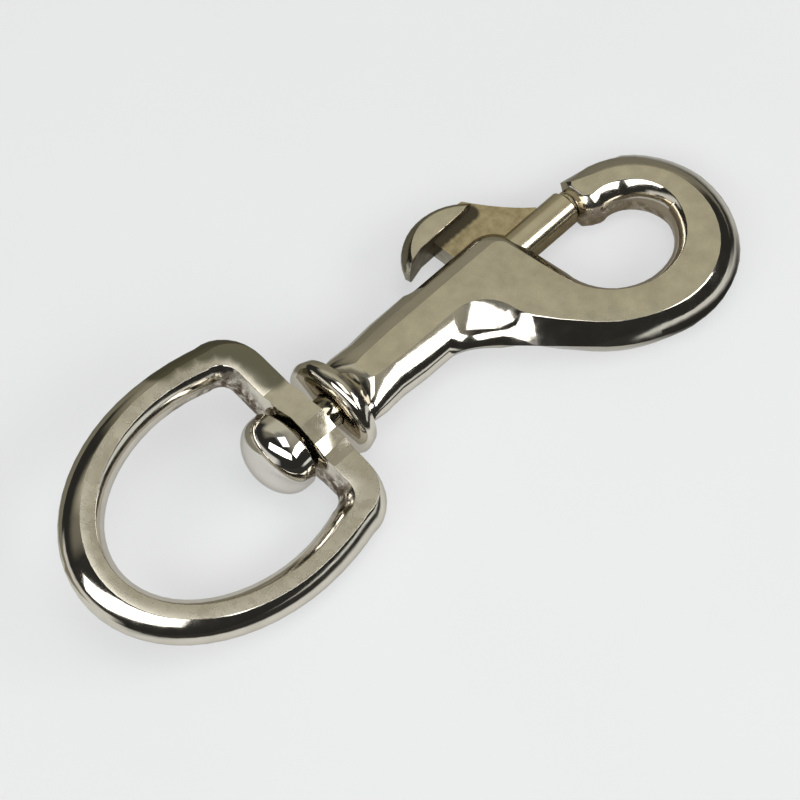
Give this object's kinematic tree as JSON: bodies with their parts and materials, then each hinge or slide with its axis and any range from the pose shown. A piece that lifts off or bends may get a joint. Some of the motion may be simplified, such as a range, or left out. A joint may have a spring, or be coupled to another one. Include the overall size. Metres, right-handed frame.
{
  "type": "swivel snap hook",
  "caption": "Cast metal swivel snap hook: a round hook closed by a sprung sliding bolt with a thumb lever, and a D-shaped strap eye that turns on a riveted swivel.",
  "frame": {"origin": "on the common axis of the bolt and the swivel, in the middle of the eye's cross bar", "axes": "+X along the axis towards the hook, +Y towards the thumb lever, +Z through the thickness, up as the hook lies on a table"},
  "size_m": [0.1057, 0.0439, 0.0147],
  "materials": {
    "cast_nickel": "polished nickel plate on a casting, faintly mottled on the flat faces",
    "bolt_nickel": "nickel plate, coarse as cast on the lever's web",
    "spring_steel": "bare drawn wire",
    "rivet_nickel": "polished nickel plate",
    "eye_nickel": "polished nickel plate on a casting"
  },
  "bodies": {
    "casting": {"hook_body": "cast_nickel", "swivel_rivet": "rivet_nickel", "spring": "spring_steel"},
    "bolt": {"bolt": "bolt_nickel"},
    "eye": {"swivel_eye": "eye_nickel"}
  },
  "joints": [
    {"name": "bolt_slide", "type": "slide", "parent": "casting", "child": "bolt", "axis": [1, 0, 0], "range_m": [-0.0084, 0], "stiffness_N_per_m": 550, "springref_m": 0.0055, "deforming": ["spring"]},
    {"name": "eye_swivel", "type": "hinge", "parent": "casting", "child": "eye", "pos_m": [0, 0, 0], "axis": [1, 0, 0], "continuous": true}
  ]
}
